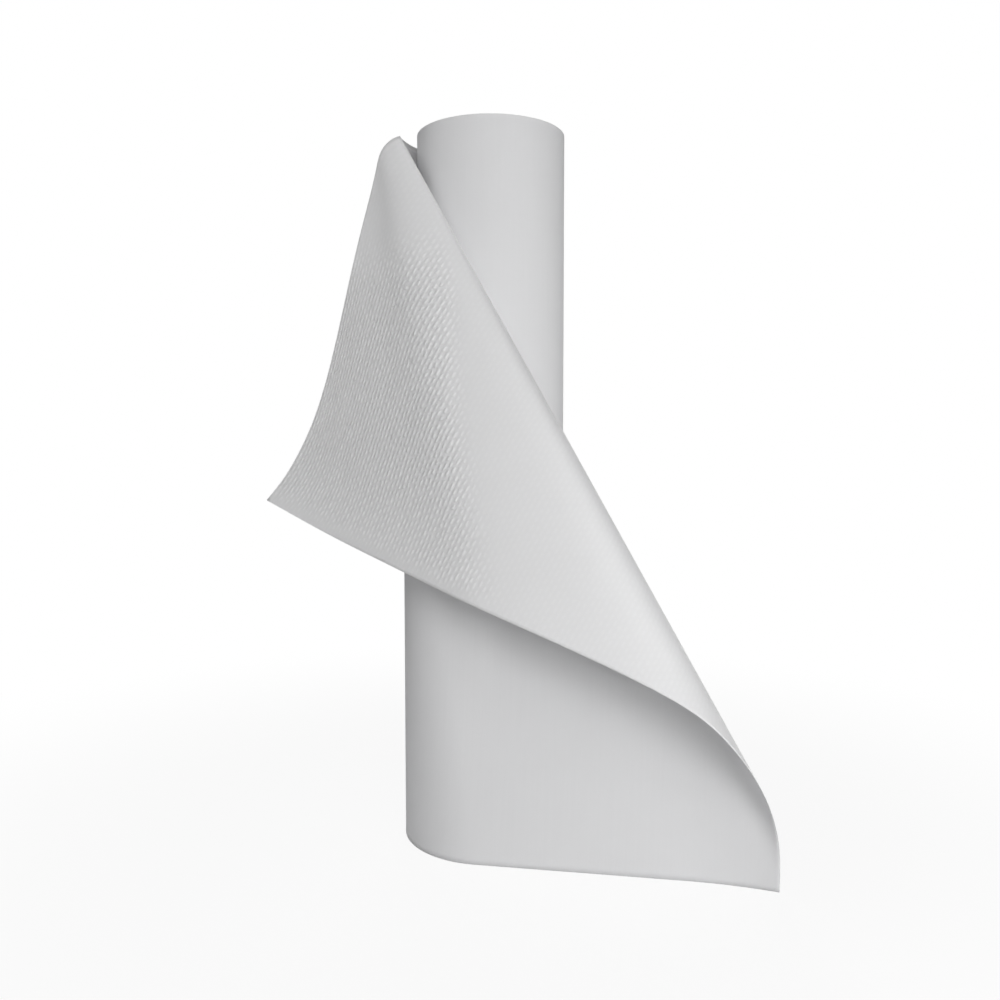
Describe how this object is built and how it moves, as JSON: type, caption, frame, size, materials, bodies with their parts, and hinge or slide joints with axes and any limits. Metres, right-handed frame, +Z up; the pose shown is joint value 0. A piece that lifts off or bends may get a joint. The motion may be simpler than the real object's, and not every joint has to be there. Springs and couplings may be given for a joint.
{
  "type": "examination table paper roll",
  "caption": "Standing roll of white creped examination table paper on a paperboard core, its loose end wrapped round the front and folded back in a flap.",
  "frame": {"origin": "on the roll's axis at the bottom end", "axes": "+Z up the roll's axis, -Y to the front where the loose end is folded back, +X to the right seen from the front"},
  "size_m": [0.3688, 0.2082, 0.533],
  "materials": {
    "paper": "matte",
    "board": "matte"
  },
  "bodies": {
    "root": {"wound_roll": "paper", "loose_sheet": "paper", "core_tube": "board"}
  },
  "joints": []
}
